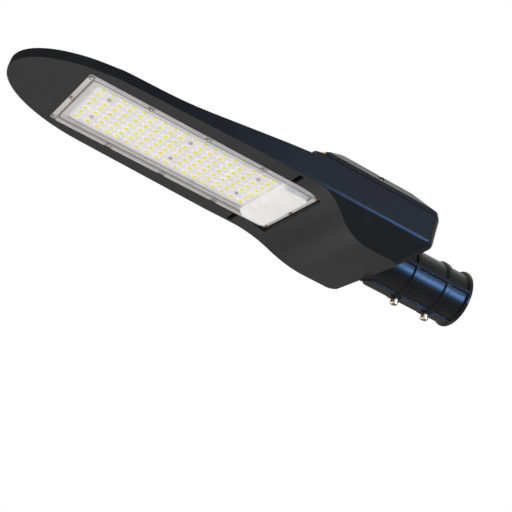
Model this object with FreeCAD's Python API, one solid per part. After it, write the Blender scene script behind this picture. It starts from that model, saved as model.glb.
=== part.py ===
import FreeCAD, Part
import math
import os

Vec = FreeCAD.Vector
UP = Vec(0, 0, 1)
DOWN = Vec(0, 0, -1)
ALONG = Vec(1, 0, 0)

# An LED street light head, in millimetres. The origin is the centre of the socket's mouth, X runs out of the
# socket along its axis, Z is up. The head lies towards -X. Z = 0 is the flat underside of the head.

# LED field
led_columns = 18
led_rows = 7
led_pitch_x = 13.0
led_pitch_y = 14.3
led_length = 5.0
led_width = 3.8
led_thickness = 0.7
screw_columns = (1, led_columns // 2, led_columns - 2)
screw_rows = (1, led_rows - 2)

# Window in the underside, and what it holds
window_front_margin = 25.0
window_rear_margin = 52.5
window_side_margin = 28.6
window_corner = 4.0
lens_gap = 0.3
lens_flush = 0.3
lens_thickness = 3.0
plateau_margin_x = 9.0
plateau_margin_y = 8.6
plateau_height = 1.2
dome_length = 11.4
dome_width = 12.4
dome_height = 2.8
dome_sides = 10
dome_steps = ((0.0, 1.0), (0.62, 0.82), (1.0, 0.45))
border_rise = 0.7
border_edge = 0.9
border_round = 1.0
bar_width = 2.5
bar_pitch = 3.8
end_pad_depth = 5.2
screw_clearing = 4.2
gasket_inset_x = 7.0
gasket_inset_y = 11.0
gasket_width = 2.5
gasket_depth = 2.2
pocket_inset_x = 10.5
pocket_inset_y = 14.0
pocket_depth = 6.6
board_gap = 0.4
board_thickness = 1.6
board_rear_margin = 27.0

# White cover over the wiring end of the lens plate
cover_front_margin = 6.5
cover_rear_margin = 7.5
cover_half_width = 58.5
cover_height = 5.8
cover_front_slope = 4.0
cover_side_slope = 1.2
cover_wall = 2.0
cover_corner = 6.0
cover_edge = 1.2
opening_lip = 6.0
opening_side_gap = 6.5

# Lens plate screws
lens_screw_inset_x = 4.4
lens_screw_inset_y = 8.2
lens_screws_per_side = 5
lens_screw_radius = 1.5
lens_screw_head_radius = 2.5
lens_screw_head_height = 1.7
lens_screw_bite = 3.2

# Body outline
nose_reach = 72.5
nose_length = 127.5
nose_narrowing = 8.0
nose_points = 17
side_border = 29.5
taper_rest = 37.0
rear_corner_radius = 16.0
side_wall = 4.0
base_thickness = 4.0

# Side view of the body
tip_height = 11.3
rise_start = 177.0
rim_rear_height = 29.5
rim_blend_radius = 500.0
compartment_height = 34.0
belly_depth = 31.0
ramp_length = 104.0
ramp_lead = 31.5
compartment_lead = 36.0
belly_floor_length = 43.5
belly_inset_side = 25.5
belly_inset_rear = 27.0
belly_corner_radius = 12.0
belly_edge_radius = 7.0
floor_thickness = 3.5

# Top of the head: raised back of the window, cooling fins, drain slots
back_wall = 4.0
back_thickness = 4.6
fin_count = 11
fin_pitch = 13.0
fin_thickness = 2.5
fin_drop = 1.5
slot_length = 6.5
slot_end_gap = 2.0
slot_side_gap = 2.5

# Socket for the lamp-post arm
socket_reach = 102.0
bore_radius = 30.5
bore_depth = 97.0
barrel_wall = 3.0
barrel_overrun = 0.5
barrel_end_wall = 6.0
relief_radius = 20.0
ring_rib_height = 2.5
ring_rib_width = 5.5
ring_rib_stations = (34.5, 81.0)
collar_height = 4.0
collar_length = 5.0
collar_round = 2.0
side_rib_height = 4.0
side_rib_width = 4.4
pad_width = 17.0
pad_height = 1.5
set_screw_stations = (36.0, 82.0)
set_screw_boss_radius = 6.5
set_screw_boss_height = 2.5
set_screw_radius = 3.0
set_screw_head_radius = 5.0
set_screw_head_height = 6.0
set_screw_stand = 1.0
set_screw_edge = 0.75
set_screw_hex = 5.0
set_screw_hex_depth = 3.0
set_screw_tip_gap = 0.4

# Lid of the driver compartment
lid_seam = 1.2
lid_lip_height = 2.4
lid_lip_inset = 1.2
lid_skirt_inset = 2.8
lid_skirt_height = 6.3
lid_slope_height = 10.8
lid_slope_side = 10.0
lid_slope_front = 22.0
lid_slope_rear = 30.0
lid_front_corner = 18.0
lid_wall = 2.6
lid_gasket_inset = 0.8
lid_gasket_width = 2.6

# Lid screws
lid_boss_radius = 6.0
lid_boss_inset = 9.5
lid_boss_sink = 20.0
lid_front_boss_lead = 11.0
lid_rear_boss_spread = 45.0
lid_pocket_radius = 4.6
lid_pocket_floor = 7.5
lid_notch_radius = 9.0
lid_notch_floor = 3.0
lid_pocket_wall = 2.0
lid_screw_radius = 2.0
lid_screw_head_radius = 3.6
lid_screw_head_height = 2.6
lid_screw_bite = 10.0

# Driver and its posts
driver_length = 130.0
driver_width = 60.0
driver_height = 34.0
driver_corner = 3.0
driver_gap = 8.0
driver_level = 2.0
driver_tab_length = 11.0
driver_tab_width = 24.0
driver_tab_thickness = 2.5
driver_post_radius = 5.0
driver_screw_radius = 2.0
driver_screw_head_radius = 3.8
driver_screw_head_height = 2.4
driver_screw_bite = 8.0

# Feed from the driver to the board
lead_diameter = 2.2
lead_spacing = 3.0
lead_exit_spacing = 10.0
connector_length = 10.0
connector_width = 15.0
connector_height = 5.5
connector_rear_gap = 1.0
grommet_rear_gap = 18.5
grommet_hole_radius = 5.5
grommet_flange_radius = 7.5
grommet_wall = 1.3
grommet_flange_height = 1.6
lead_high = 22.0
lead_layer = 5.0
lead_stub = 9.0
lead_swing = 7.0
output_lead_reach = 11.0
input_lead_reach = 12.0
lead_bend_share = 0.45

# Mains side: terminal block, earth point, cable gland
terminal_length = 18.0
terminal_width = 33.0
terminal_height = 16.0
terminal_gap = 10.0
terminal_offset = 42.0
terminal_ways = 3
terminal_mouth = 5.5
terminal_tab = 6.0
terminal_tab_height = 4.0
terminal_boss_height = 3.0
terminal_boss_radius = 4.0
terminal_screw_radius = 1.5
terminal_screw_head_radius = 2.4
terminal_screw_head_height = 1.4
terminal_screw_bite = 4.0
clamp_screw_radius = 2.2
clamp_screw_height = 1.2
earth_offset = 30.0
earth_boss_radius = 5.0
earth_boss_height = 6.0
earth_screw_radius = 2.0
earth_head_radius = 3.6
earth_head_height = 2.6
earth_screw_bite = 6.0
earth_lug_thickness = 1.0
earth_crimp_radius = 1.8
earth_crimp_length = 6.0
gland_thread_radius = 8.0
gland_clearance = 0.2
gland_hex = 22.0
gland_nut_hex = 20.0
gland_flange_length = 5.0
gland_nut_length = 12.0
gland_neck_length = 9.0
gland_locknut_length = 4.0
gland_inner_length = 8.0
gland_cable_radius = 4.5
gland_body_wall = 1.8

# Fits, and how far a cut runs past a face
screw_head_rounding = 0.45
thread_gap = 0.1
hole_gap = 0.2
over = 1.0
far = 400.0

# Widths that follow from the LED field
window_half = (led_rows - 1) * led_pitch_y / 2 + window_side_margin
window_length = window_front_margin + (led_columns - 1) * led_pitch_x + window_rear_margin
body_half = window_half + side_border
nose_half = body_half - nose_narrowing

# Stations along X, worked out from the socket's mouth towards the tip
rear_x = -socket_reach
belly_rear_x = rear_x - belly_inset_rear
ramp_end_x = belly_rear_x - belly_floor_length
ramp_start_x = ramp_end_x - ramp_length
window_rear_x = ramp_start_x + ramp_lead
window_front_x = window_rear_x - window_length
compartment_x = window_rear_x - compartment_lead
taper_end_x = compartment_x - taper_rest
tip_x = window_front_x - nose_reach
led_x = window_front_x + window_front_margin
last_led_x = led_x + (led_columns - 1) * led_pitch_x
barrel_end_x = belly_rear_x - barrel_overrun
back_top = pocket_depth + back_thickness
lens_back = lens_flush + lens_thickness

# Radii and levels about the socket's axis
barrel_radius = bore_radius + barrel_wall
pad_level = barrel_radius + pad_height
gland_neck_radius = gland_thread_radius - gland_body_wall / 2
gland_hole_radius = gland_cable_radius + gland_body_wall


def box(x0, x1, y0, y1, z0, z1):
    return Part.makeBox(x1 - x0, y1 - y0, z1 - z0, Vec(x0, y0, z0))


def rod(radius, start, direction, length):
    return Part.makeCylinder(radius, length, start, direction)


def post(radius, x, y, z0, z1):
    return rod(radius, Vec(x, y, z0), UP, z1 - z0)


def joined(first, others):
    return first.multiFuse(others).removeSplitter()


def both_sides(shape):
    return [shape, shape.mirror(Vec(0, 0, 0), Vec(0, 1, 0))]


def line(a, b):
    return Part.LineSegment(a, b).toShape()


def arc(a, middle, b):
    return Part.Arc(a, middle, b).toShape()


def corner_point(centre_x, centre_y, radius, degrees, z):
    turn = math.radians(degrees)
    return Vec(centre_x + radius * math.cos(turn), centre_y + radius * math.sin(turn), z)


def rounded_rectangle(x0, x1, half, radius, z, front_radius=None):
    """Closed wire on level z, symmetric about Y = 0; the corners at x0 may have a radius of their own."""
    front = radius if front_radius is None else front_radius
    corners = [(x1 - radius, half - radius, radius, 0), (x0 + front, half - front, front, 90),
               (x0 + front, front - half, front, 180), (x1 - radius, radius - half, radius, 270)]
    edges = []
    last = None
    for cx, cy, r, start in corners:
        first, middle, end = [corner_point(cx, cy, r, start + turn, z) for turn in (0, 45, 90)]
        if last is not None:
            edges.append(line(last, first))
        edges.append(arc(first, middle, end))
        last = end
    edges.append(line(last, edges[0].Vertexes[0].Point))
    return Part.Wire(edges)


def raised(wire, height):
    return Part.Face(wire).extrude(Vec(0, 0, height))


def tray(x0, x1, half, radius, z0, z1):
    return raised(rounded_rectangle(x0, x1, half, radius, z0), z1 - z0)


def tapered(lower, upper):
    return Part.makeLoft([lower, upper], True, True)


def body_outline(inset, rear_inset, corner, z):
    """Plan of the head: elliptical nose, sides that spread a little, then run parallel to a rounded rear end."""
    centre_x = tip_x + nose_length
    a = nose_length - inset
    b = nose_half - inset
    half = body_half - inset
    reach = (taper_end_x - centre_x) / a
    spread = half / b
    touch = math.atan2(spread, reach) + math.acos(1 / math.hypot(reach, spread))
    turns = [touch + (2 * math.pi - 2 * touch) * i / (nose_points - 1) for i in range(nose_points)]
    points = [Vec(centre_x + a * math.cos(t), b * math.sin(t), z) for t in turns]
    end = Vec(taper_end_x, half, z)
    start_pull = (points[0] - end).normalize()
    end_pull = Vec(-start_pull.x, start_pull.y, 0)
    nose = Part.BSplineCurve()
    nose.interpolate(Points=points, InitialTangent=start_pull, FinalTangent=end_pull)
    x = rear_x - rear_inset
    low = [corner_point(x - corner, corner - half, corner, turn, z) for turn in (270, 315, 360)]
    high = [corner_point(x - corner, half - corner, corner, turn, z) for turn in (0, 45, 90)]
    mirror_end = Vec(taper_end_x, -half, z)
    edges = [nose.toShape(), line(points[-1], mirror_end), line(mirror_end, low[0]), arc(*low),
             line(low[2], high[0]), arc(*high), line(high[2], end), line(end, points[0])]
    return Part.Wire(edges)


def side_slab(edges):
    """A closed side view in the XZ plane, made as wide as needed."""
    face = Part.Face(Part.Wire(Part.sortEdges(edges)[0]))
    face.translate(Vec(0, -far, 0))
    return face.extrude(Vec(0, 2 * far, 0))


def chain(points):
    return [line(a, b) for a, b in zip(points, points[1:])]


def ramp(lift):
    """The S-shaped underside: flat head, two equal arcs down to the belly's floor, lifted along its normal."""
    turn = 2 * math.atan(belly_depth / ramp_length)
    radius = ramp_length / 2 / math.sin(turn)
    upper = radius + lift
    lower = radius - lift
    first_centre = Vec(ramp_start_x, 0, -radius)
    second_centre = Vec(ramp_end_x, 0, radius - belly_depth)

    def upper_point(t):
        return first_centre + Vec(upper * math.sin(t), 0, upper * math.cos(t))

    def lower_point(t):
        return second_centre - Vec(lower * math.sin(t), 0, lower * math.cos(t))

    meeting = upper_point(turn)
    down = arc(upper_point(0), upper_point(turn / 2), meeting)
    level = arc(meeting, lower_point(turn / 2), lower_point(0))
    return [down, level], upper_point(0), lower_point(0)


def rim_height(x):
    """Height of the head's rim: level from the tip, then rising to the compartment."""
    start = tip_x + rise_start
    if x <= start:
        return tip_height
    return tip_height + (rim_rear_height - tip_height) * (x - start) / (compartment_x - start)


def rim_line(drop, x0, x1):
    """Top line of the head between two stations, with a soft bend where it starts to rise."""
    start = tip_x + rise_start
    slope = math.atan2(rim_rear_height - tip_height, compartment_x - start)
    setback = rim_blend_radius * math.tan(slope / 2)
    a = Vec(start - setback, 0, tip_height - drop)
    b = Vec(start + setback * math.cos(slope), 0, tip_height - drop + setback * math.sin(slope))
    sag = rim_blend_radius * (1 - math.cos(slope / 2))
    middle = Vec(a.x + rim_blend_radius * math.sin(slope / 2), 0, a.z + sag)
    first = Vec(x0, 0, tip_height - drop)
    last = Vec(x1, 0, rim_height(x1) - drop)
    return [line(first, a), arc(a, middle, b), line(b, last)], first, last


def body_block(inset):
    """Upright sides above Z = 0 and the sloped sides of the belly below it."""
    outline = body_outline(inset, inset, rear_corner_radius - inset, 0)
    foot_inset = belly_inset_side + inset
    foot = body_outline(foot_inset, belly_inset_rear + inset, belly_corner_radius - inset, -belly_depth)
    upper = raised(outline, compartment_height)
    lower = tapered(foot, outline)
    return upper.fuse(lower).removeSplitter()


def level_edges(shape, z):
    return [e for e in shape.Edges if abs(e.BoundBox.ZMin - z) < 1e-3 and abs(e.BoundBox.ZMax - z) < 1e-3]


def lid_notch_places():
    """The lid's two front screws, which stand in open notches of its corners."""
    side = body_half - lid_boss_inset
    front = compartment_x + lid_front_boss_lead
    return [(front, side), (front, -side)]


def lid_pocket_places():
    """The screws at the middle of its sides and at its rear, which stand in round pockets."""
    side = body_half - lid_boss_inset
    middle = (compartment_x + rear_x) / 2
    rear = rear_x - lid_boss_inset
    places = [(middle, side), (rear, lid_rear_boss_spread)]
    return [(x, y * sign) for x, y in places for sign in (1, -1)]


def lid_boss_places():
    return lid_notch_places() + lid_pocket_places()


def lens_screw_places():
    front = window_front_x + lens_screw_inset_x
    rear = window_rear_x - lens_screw_inset_x
    side = window_half - lens_screw_inset_y
    step = (rear - front) / (lens_screws_per_side - 1)
    places = [(front + step * i, side * sign) for i in range(lens_screws_per_side) for sign in (1, -1)]
    return places + [(front, 0), (rear, 0)]


def led_place(column, row):
    return led_x + column * led_pitch_x, (row - (led_rows - 1) / 2) * led_pitch_y


def is_screw_place(column, row):
    return column in screw_columns and row in screw_rows


def board_screw_places():
    return [led_place(c, r) for c in screw_columns for r in screw_rows]


def led_places():
    grid = [(c, r) for c in range(led_columns) for r in range(led_rows)]
    return [led_place(c, r) for c, r in grid if not is_screw_place(c, r)]


def driver_front_x():
    return window_rear_x + back_wall + driver_gap


def driver_centre_x():
    return driver_front_x() + driver_width / 2


def driver_post_places():
    side = driver_length / 2 + driver_tab_length / 2
    return [(driver_centre_x(), side), (driver_centre_x(), -side)]


def terminal_rear_x():
    return barrel_end_x - terminal_gap


def terminal_centre():
    return terminal_rear_x() - terminal_length / 2, terminal_offset


def terminal_fixing_places():
    x, y = terminal_centre()
    reach = terminal_width / 2 + terminal_tab / 2
    return [(x, y - reach), (x, y + reach)]


def terminal_floor():
    return floor_thickness - belly_depth + terminal_boss_height


def earth_place():
    return terminal_centre()[0], -earth_offset


def earth_top():
    return floor_thickness - belly_depth + earth_boss_height


def grommet_place():
    return window_rear_x - grommet_rear_gap, 0


def head_shape():
    """The outside of the casting without its socket."""
    block = body_block(0)
    block = block.makeFillet(belly_edge_radius, level_edges(block, 0))
    slope, ramp_first, ramp_last = ramp(0)
    rim, rim_first, rim_last = rim_line(0, tip_x - over, compartment_x)
    floor_end = Vec(rear_x + over, 0, -belly_depth)
    top_end = Vec(rear_x + over, 0, compartment_height)
    shoulder = Vec(compartment_x, 0, compartment_height)
    tip_low = Vec(tip_x - over, 0, 0)
    edges = chain([tip_low, ramp_first]) + slope + chain([ramp_last, floor_end, top_end, shoulder, rim_last])
    edges += rim + chain([rim_first, tip_low])
    return block.common(side_slab(edges))


def trough():
    """The open top of the head inside its rim, with the raised back of the window left standing."""
    inside = raised(body_outline(side_wall, side_wall, rear_corner_radius - side_wall, base_thickness), far)
    ahead = box(tip_x - over, compartment_x, -far, far, base_thickness, far)
    back = window_block(back_top)
    return inside.common(ahead).cut(back)


def window_block(top):
    return box(window_front_x - back_wall, window_rear_x + back_wall,
               -window_half - back_wall, window_half + back_wall, -far, top)


def compartment_space():
    """The inside of the driver compartment, open at the top."""
    slope, ramp_first, ramp_last = ramp(floor_thickness)
    front_x = compartment_x + side_wall
    start = Vec(front_x, 0, floor_thickness)
    rear_low = Vec(rear_x, 0, floor_thickness - belly_depth)
    rear_high = Vec(rear_x, 0, far)
    front_high = Vec(front_x, 0, far)
    edges = chain([start, ramp_first]) + slope + chain([ramp_last, rear_low, rear_high, front_high, start])
    return body_block(side_wall).common(side_slab(edges)).cut(window_block(back_top))


def fins():
    shapes = []
    rim, first, last = rim_line(fin_drop, window_front_x, compartment_x + side_wall / 2)
    low_last = Vec(last.x, 0, base_thickness)
    low_first = Vec(first.x, 0, base_thickness)
    slab = side_slab(rim + chain([last, low_last, low_first, first]))
    for i in range(fin_count):
        y = (i - (fin_count - 1) / 2) * fin_pitch
        strip = box(first.x, last.x, y - fin_thickness / 2, y + fin_thickness / 2, base_thickness, far)
        shapes.append(strip.common(slab))
    return shapes


def drain_slots():
    x1 = compartment_x - slot_end_gap
    y0 = window_half + back_wall - slot_side_gap
    y1 = body_half - side_wall - slot_side_gap
    slot = box(x1 - slot_length, x1, y0, y1, -over, base_thickness + over)
    return both_sides(slot)


def socket_shape():
    """Round barrel with ring ribs, side ribs, a flat pad along the bottom and bosses for the two screws."""
    barrel = rod(barrel_radius, Vec(barrel_end_x, 0, 0), ALONG, -barrel_end_x)
    collar = rod(barrel_radius + collar_height, Vec(-collar_length, 0, 0), ALONG, collar_length)
    collar = collar.makeFillet(collar_round, [e for e in collar.Edges if e.Closed])
    pieces = [collar]
    for station in ring_rib_stations:
        start = Vec(-station - ring_rib_width / 2, 0, 0)
        pieces.append(rod(barrel_radius + ring_rib_height, start, ALONG, ring_rib_width))
    half_rib = side_rib_width / 2
    side_rib = box(rear_x, -collar_length / 2, 0, barrel_radius + side_rib_height, -half_rib, half_rib)
    pieces += both_sides(side_rib)
    half_pad = pad_width / 2
    pad = box(barrel_end_x + half_pad, -collar_length / 2, -half_pad, half_pad, -pad_level, 0)
    pieces.append(pad)
    pieces.append(post(half_pad, barrel_end_x + half_pad, 0, -pad_level, 0))
    for station in set_screw_stations:
        pieces.append(post(set_screw_boss_radius, -station, 0, -pad_level - set_screw_boss_height, 0))
    return barrel, pieces


def socket_hollows():
    relief_end = barrel_end_x + barrel_end_wall
    bore = rod(bore_radius, Vec(-bore_depth, 0, 0), ALONG, bore_depth + over)
    relief = rod(relief_radius, Vec(relief_end, 0, 0), ALONG, -relief_end)
    entry_start = Vec(barrel_end_x - over, 0, 0)
    entry = rod(gland_thread_radius + gland_clearance, entry_start, ALONG, barrel_end_wall + 2 * over)
    hollows = [bore, relief, entry]
    for station in set_screw_stations:
        hollows.append(post(set_screw_radius + thread_gap, -station, 0, -far, 0))
    return hollows


def window_recess():
    """Ledge for the lens plate, groove for its seal, deeper pocket for the board, and the screw holes."""
    low = -belly_depth
    ledge = tray(window_front_x, window_rear_x, window_half, window_corner, low, lens_back)
    half = window_half - pocket_inset_y
    x0 = window_front_x + pocket_inset_x
    pocket = tray(x0, window_rear_x - pocket_inset_x, half, window_corner, low, pocket_depth)
    cuts = [ledge, pocket, gasket_ring(0)]
    bite_top = lens_back + lens_screw_bite
    for x, y in lens_screw_places():
        cuts.append(post(lens_screw_radius + thread_gap, x, y, 0, bite_top + hole_gap))
    for x, y in board_screw_places():
        cuts.append(post(lens_screw_radius + thread_gap, x, y, 0, pocket_depth + lens_screw_bite + hole_gap))
    gx, gy = grommet_place()
    cuts.append(post(grommet_hole_radius, gx, gy, 0, back_top + over))
    return cuts


def gasket_ring(gap):
    """The seal in its groove; with a gap it is the seal itself, without one the groove."""
    top = lens_back + gasket_depth - gap

    def level(inset):
        x0 = window_front_x + gasket_inset_x + inset
        x1 = window_rear_x - gasket_inset_x - inset
        return tray(x0, x1, window_half - gasket_inset_y - inset, window_corner, lens_back, top)

    return level(gap).cut(level(gasket_width - gap))


def inner_posts(shell):
    """Posts and bosses that stand inside the compartment, trimmed to the outside of the casting."""
    floor = floor_thickness - belly_depth
    posts = [post(lid_boss_radius, x, y, -lid_boss_sink, compartment_height) for x, y in lid_boss_places()]
    posts += [post(driver_post_radius, x, y, -belly_depth, driver_level) for x, y in driver_post_places()]
    for x, y in terminal_fixing_places():
        posts.append(post(terminal_boss_radius, x, y, -belly_depth, floor + terminal_boss_height))
    ex, ey = earth_place()
    posts.append(post(earth_boss_radius, ex, ey, -belly_depth, earth_top()))
    return [p.common(shell) for p in posts]


def inner_screw_holes():
    holes = []
    for x, y in lid_boss_places():
        top = compartment_height
        holes.append(post(lid_screw_radius + thread_gap, x, y, top - lid_screw_bite - over, top + over))
    for x, y in driver_post_places():
        low = driver_level - driver_screw_bite - over
        holes.append(post(driver_screw_radius + thread_gap, x, y, low, driver_level))
    for x, y in terminal_fixing_places():
        top = terminal_floor()
        holes.append(post(terminal_screw_radius + thread_gap, x, y, top - terminal_screw_bite - hole_gap, top))
    ex, ey = earth_place()
    holes.append(post(earth_screw_radius + thread_gap, ex, ey, earth_top() - earth_screw_bite - hole_gap, earth_top()))
    return holes


def make_housing():
    head = head_shape()
    shell = head.cut(trough()).cut(compartment_space())
    barrel, pieces = socket_shape()
    solid = shell.multiFuse(fins() + inner_posts(head) + [barrel] + pieces)
    return solid.cut(socket_hollows() + window_recess() + drain_slots() + inner_screw_holes())


def lid_outline(inset, z, front_slope=0.0, rear_slope=0.0, side_slope=0.0):
    x0 = compartment_x + inset + front_slope
    x1 = rear_x - inset - rear_slope
    half = body_half - inset - side_slope
    return rounded_rectangle(x0, x1, half, rear_corner_radius - inset, z, lid_front_corner - inset)


def lid_levels():
    foot = compartment_height + lid_seam
    skirt_top = foot + lid_skirt_height
    return foot, skirt_top, skirt_top + lid_slope_height


def lid_block(inset, drop):
    foot, skirt_top, top = lid_levels()
    edge = lid_skirt_inset + inset
    skirt = raised(lid_outline(edge, foot), skirt_top - foot)
    upper = lid_outline(edge, top - drop, lid_slope_front, lid_slope_rear, lid_slope_side)
    slope = tapered(lid_outline(edge, skirt_top), upper)
    return skirt.fuse(slope)


def make_lid():
    foot, _, top = lid_levels()
    lip = raised(lid_outline(lid_lip_inset, foot), lid_lip_height)
    outside = lid_block(0, 0)
    shell = outside.fuse(lip).cut(lid_block(lid_wall, lid_wall))
    columns = []
    cuts = [post(lid_screw_radius + hole_gap, x, y, foot - over, top) for x, y in lid_boss_places()]
    pockets = [(place, lid_notch_radius, lid_notch_floor) for place in lid_notch_places()]
    pockets += [(place, lid_pocket_radius, lid_pocket_floor) for place in lid_pocket_places()]
    for (x, y), radius, floor in pockets:
        columns.append(post(radius + lid_pocket_wall, x, y, foot, top).common(outside))
        cuts.append(post(radius, x, y, foot + floor, top + over))
    return joined(shell, columns).cut(cuts).removeSplitter()


def make_lid_gasket():
    z = compartment_height
    outer = raised(lid_outline(lid_gasket_inset + lid_lip_inset, z), lid_seam)
    inner = raised(lid_outline(lid_gasket_inset + lid_lip_inset + lid_gasket_width, z), lid_seam)
    return outer.cut(inner)


def screw(x, y, seat, direction, radius, length, head_radius, head_height):
    """A pan-headed screw: its head stands on the seat against the direction in which it is driven."""
    start = Vec(x, y, seat)
    head = rod(head_radius, start, direction * -1, head_height)
    rim = [e for e in head.Edges if e.Closed and abs(e.BoundBox.ZMin - seat) > head_height / 2]
    head = head.makeChamfer(head_height * screw_head_rounding, rim)
    return head.fuse(rod(radius, start, direction, length)).removeSplitter()


def screws(places, seat, direction, radius, length, head_radius, head_height):
    shapes = [screw(x, y, seat, direction, radius, length, head_radius, head_height) for x, y in places]
    return Part.makeCompound(shapes)


def make_board():
    x0 = window_front_x + pocket_inset_x + board_gap
    x1 = window_rear_x - board_rear_margin
    half = window_half - pocket_inset_y - board_gap
    top = pocket_depth
    board = tray(x0, x1, half, window_corner, top - board_thickness, top)
    holes = [post(lens_screw_radius + hole_gap, x, y, 0, top + over) for x, y in board_screw_places()]
    return board.cut(holes)


def make_leds():
    face = pocket_depth - board_thickness
    half_x = led_length / 2
    half_y = led_width / 2
    low = face - led_thickness
    chips = [box(x - half_x, x + half_x, y - half_y, y + half_y, low, face) for x, y in led_places()]
    return Part.makeCompound(chips)


def oval(z, scale):
    points = []
    for i in range(dome_sides):
        turn = 2 * math.pi * (i + 0.5) / dome_sides
        points.append(Vec(scale * dome_length / 2 * math.cos(turn), scale * dome_width / 2 * math.sin(turn), z))
    return points


def flat_face(points):
    return Part.Face(Part.makePolygon(points + points[:1]))


def lens_dome():
    """One oval lens, crowned in flat steps, standing down from the plateau."""
    root = lens_flush - plateau_height
    rings = [oval(root - dome_height * depth, scale) for depth, scale in dome_steps]
    faces = [flat_face(rings[0]), flat_face(rings[-1])]
    for outer, inner in zip(rings, rings[1:]):
        for i in range(dome_sides):
            faces.append(flat_face([outer[i - 1], outer[i], inner[i], inner[i - 1]]))
    return Part.Solid(Part.Shell(faces))


def plateau():
    x0 = led_x - plateau_margin_x
    x1 = last_led_x + plateau_margin_x / 2
    half = (led_rows - 1) * led_pitch_y / 2 + plateau_margin_y
    slope = plateau_height
    root = rounded_rectangle(x0, x1, half, window_corner, lens_flush)
    face = rounded_rectangle(x0 + slope, x1 - slope, half - slope, window_corner, lens_flush - plateau_height)
    return tapered(face, root)


def wiring_stations():
    return last_led_x + cover_front_margin, window_rear_x - cover_rear_margin


def raised_strip(x0, x1, y0, y1):
    """A low strip with rounded corners on the border of the lens plate."""
    strip = box(x0, x1, y0, y1, lens_flush - border_rise, lens_flush)
    upright = [e for e in strip.Edges if e.BoundBox.ZLength > border_rise / 2]
    return strip.makeFillet(border_round, upright)


def lens_border():
    """Double bars along the sides and wide pads at both ends, each from one screw to the next."""
    shapes = []
    front_x = window_front_x + lens_screw_inset_x
    step = (window_rear_x - lens_screw_inset_x - front_x) / (lens_screws_per_side - 1)
    outer_y = window_half - lens_gap - border_edge
    for i in range(lens_screws_per_side - 1):
        x0 = front_x + step * i + screw_clearing
        x1 = front_x + step * (i + 1) - screw_clearing
        for y in (outer_y, outer_y - bar_pitch):
            shapes += both_sides(raised_strip(x0, x1, y - bar_width, y))
    end_edge = lens_gap + border_edge
    pad_end = window_half - lens_screw_inset_y - screw_clearing
    for pad_x in (window_front_x + end_edge, window_rear_x - end_edge - end_pad_depth):
        shapes += both_sides(raised_strip(pad_x, pad_x + end_pad_depth, screw_clearing, pad_end))
    return shapes


def make_lens():
    gap = lens_gap
    x0 = window_front_x + gap
    x1 = window_rear_x - gap
    sheet = tray(x0, x1, window_half - gap, window_corner - gap, lens_flush, lens_back)
    dome = lens_dome()
    domes = []
    for x, y in led_places():
        copy = dome.copy()
        copy.translate(Vec(x, y, 0))
        domes.append(copy)
    cover_x0, cover_x1 = wiring_stations()
    lip = opening_lip
    half = connector_width / 2 + opening_side_gap
    opening = tray(cover_x0 + lip, cover_x1 - lip, half, window_corner, -over, lens_back + over)
    holes = [post(lens_screw_radius + hole_gap, x, y, -over, lens_back + over) for x, y in lens_screw_places()]
    sheet = sheet.multiFuse([plateau()] + lens_border()).cut([opening] + holes)
    return sheet.fuse(Part.makeCompound(domes))


def cover_block(inset, drop):
    x0, x1 = wiring_stations()
    foot = rounded_rectangle(x0 + inset, x1 - inset, cover_half_width - inset, cover_corner - inset, lens_flush)
    face_half = cover_half_width - cover_side_slope - inset
    face_x0 = x0 + cover_front_slope + inset
    face_x1 = x1 - cover_side_slope - inset
    face_z = lens_flush - cover_height + drop
    face = rounded_rectangle(face_x0, face_x1, face_half, cover_corner - inset, face_z)
    return tapered(face, foot)


def make_wiring_cover():
    block = cover_block(0, 0)
    rounded = block.makeFillet(cover_edge, level_edges(block, lens_flush - cover_height))
    return rounded.cut(cover_block(cover_wall, cover_wall))


def connector_x():
    return window_rear_x - board_rear_margin - connector_rear_gap


def make_connector():
    x1 = connector_x()
    face = pocket_depth - board_thickness
    half = connector_width / 2
    return box(x1 - connector_length, x1, -half, half, face - connector_height, face)


def lead(points):
    """A round lead along straight runs joined by tangent arcs, each as large as its two runs allow."""
    edges = []
    last = points[0]
    for before, point, after in zip(points, points[1:], points[2:]):
        back = (before - point).normalize()
        ahead = (after - point).normalize()
        share = lead_bend_share * min((before - point).Length, (after - point).Length)
        start = point + back * share
        end = point + ahead * share
        half_turn = (math.pi - back.getAngle(ahead)) / 2
        radius = share / math.tan(half_turn)
        inward = (back + ahead).normalize()
        middle = point + inward * (radius / math.cos(half_turn) - radius)
        edges.append(line(last, start))
        edges.append(arc(start, middle, end))
        last = end
    edges.append(line(last, points[-1]))
    path = Part.Wire(edges)
    ring = Part.Wire(Part.makeCircle(lead_diameter / 2, points[0], points[1] - points[0]))
    return path.makePipeShell([ring], True, False)


def output_lead(side, layer):
    """From the end of the driver, round to the grommet, down through it and into the connector on the board."""
    reach = output_lead_reach + layer * lead_layer
    gx, gy = grommet_place()
    y = gy + side * lead_spacing / 2
    z = driver_level + lead_high + layer * lead_layer
    mid_z = pocket_depth - board_thickness - connector_height / 2
    end_y = -driver_length / 2
    out_x = driver_centre_x() + (layer - 0.5) * lead_exit_spacing
    turn_y = end_y - reach
    points = [Vec(out_x, end_y, z), Vec(out_x, turn_y, z), Vec(gx + reach, turn_y, z),
              Vec(gx, turn_y + 2 * reach, z), Vec(gx, y, z), Vec(gx, y, mid_z), Vec(connector_x(), y, mid_z)]
    return lead(points)


def terminal_entry(way):
    x, y = terminal_centre()
    step = terminal_width / terminal_ways
    z = terminal_floor() + terminal_height / 2
    return Vec(x - terminal_length / 2, y + (way - (terminal_ways - 1) / 2) * step, z)


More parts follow.
